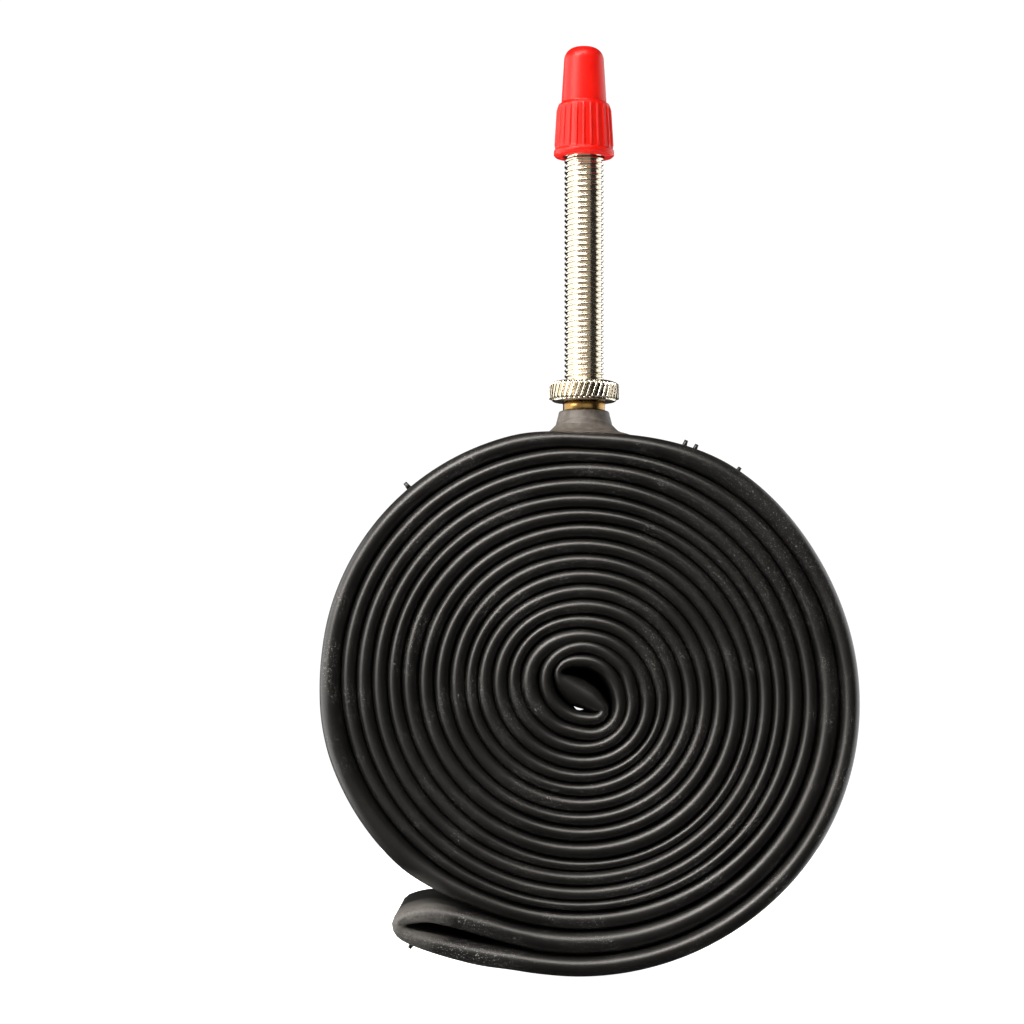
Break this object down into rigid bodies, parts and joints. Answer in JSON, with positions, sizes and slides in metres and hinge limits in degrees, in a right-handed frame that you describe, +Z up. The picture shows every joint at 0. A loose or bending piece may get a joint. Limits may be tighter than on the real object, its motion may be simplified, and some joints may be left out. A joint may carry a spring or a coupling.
{
  "type": "bicycle inner tube",
  "caption": "Flat-rolled road bicycle inner tube with a long threaded Presta valve, knurled lock nut, valve core and screw-on dust cap.",
  "frame": {"origin": "on the valve axis, where the bare shank of the stem leaves the rubber base", "axes": "+Z up the valve, away from the roll; Y along the axis of the roll; the roll's front faces -Y"},
  "size_m": [0.0775, 0.028, 0.1388],
  "materials": {
    "butyl": "satin",
    "moulded_rubber": "matt, slightly rough",
    "nickel": "nickel-plated, bright",
    "brass": "machined",
    "white_seal": "smooth",
    "black_seal": "matt",
    "red_plastic": "glossy, slightly translucent"
  },
  "bodies": {
    "tube": {"inner_tube": "butyl", "valve_base": "moulded_rubber", "valve_stem": "nickel", "core_body": "brass", "core_gasket": "white_seal"},
    "lock_nut": {"lock_nut": "nickel"},
    "cap": {"dust_cap": "red_plastic"},
    "thumb_nut": {"thumb_nut": "nickel"},
    "pin": {"core_pin": "brass", "plunger_seal": "black_seal", "seal_cup": "brass"}
  },
  "joints": [
    {"name": "lock_nut_travel", "type": "slide", "parent": "tube", "child": "lock_nut", "axis": [0, 0, 1], "range_m": [0, 0.033]},
    {"name": "cap_lift", "type": "slide", "parent": "tube", "child": "cap", "axis": [0, 0, 1], "range_m": [0, 0.03]},
    {"name": "thumb_nut_turn", "type": "hinge", "parent": "tube", "child": "thumb_nut", "pos_m": [0, 0, 0.048], "axis": [0, 0, 1], "range_deg": [0, 1800]},
    {"name": "pin_slide", "type": "slide", "parent": "tube", "child": "pin", "axis": [0, 0, 1], "range_m": [-0.002, 0]}
  ],
  "couplings": [
    {"joint": "thumb_nut_turn", "follows": "pin_slide", "rad_per_m": -15708}
  ]
}
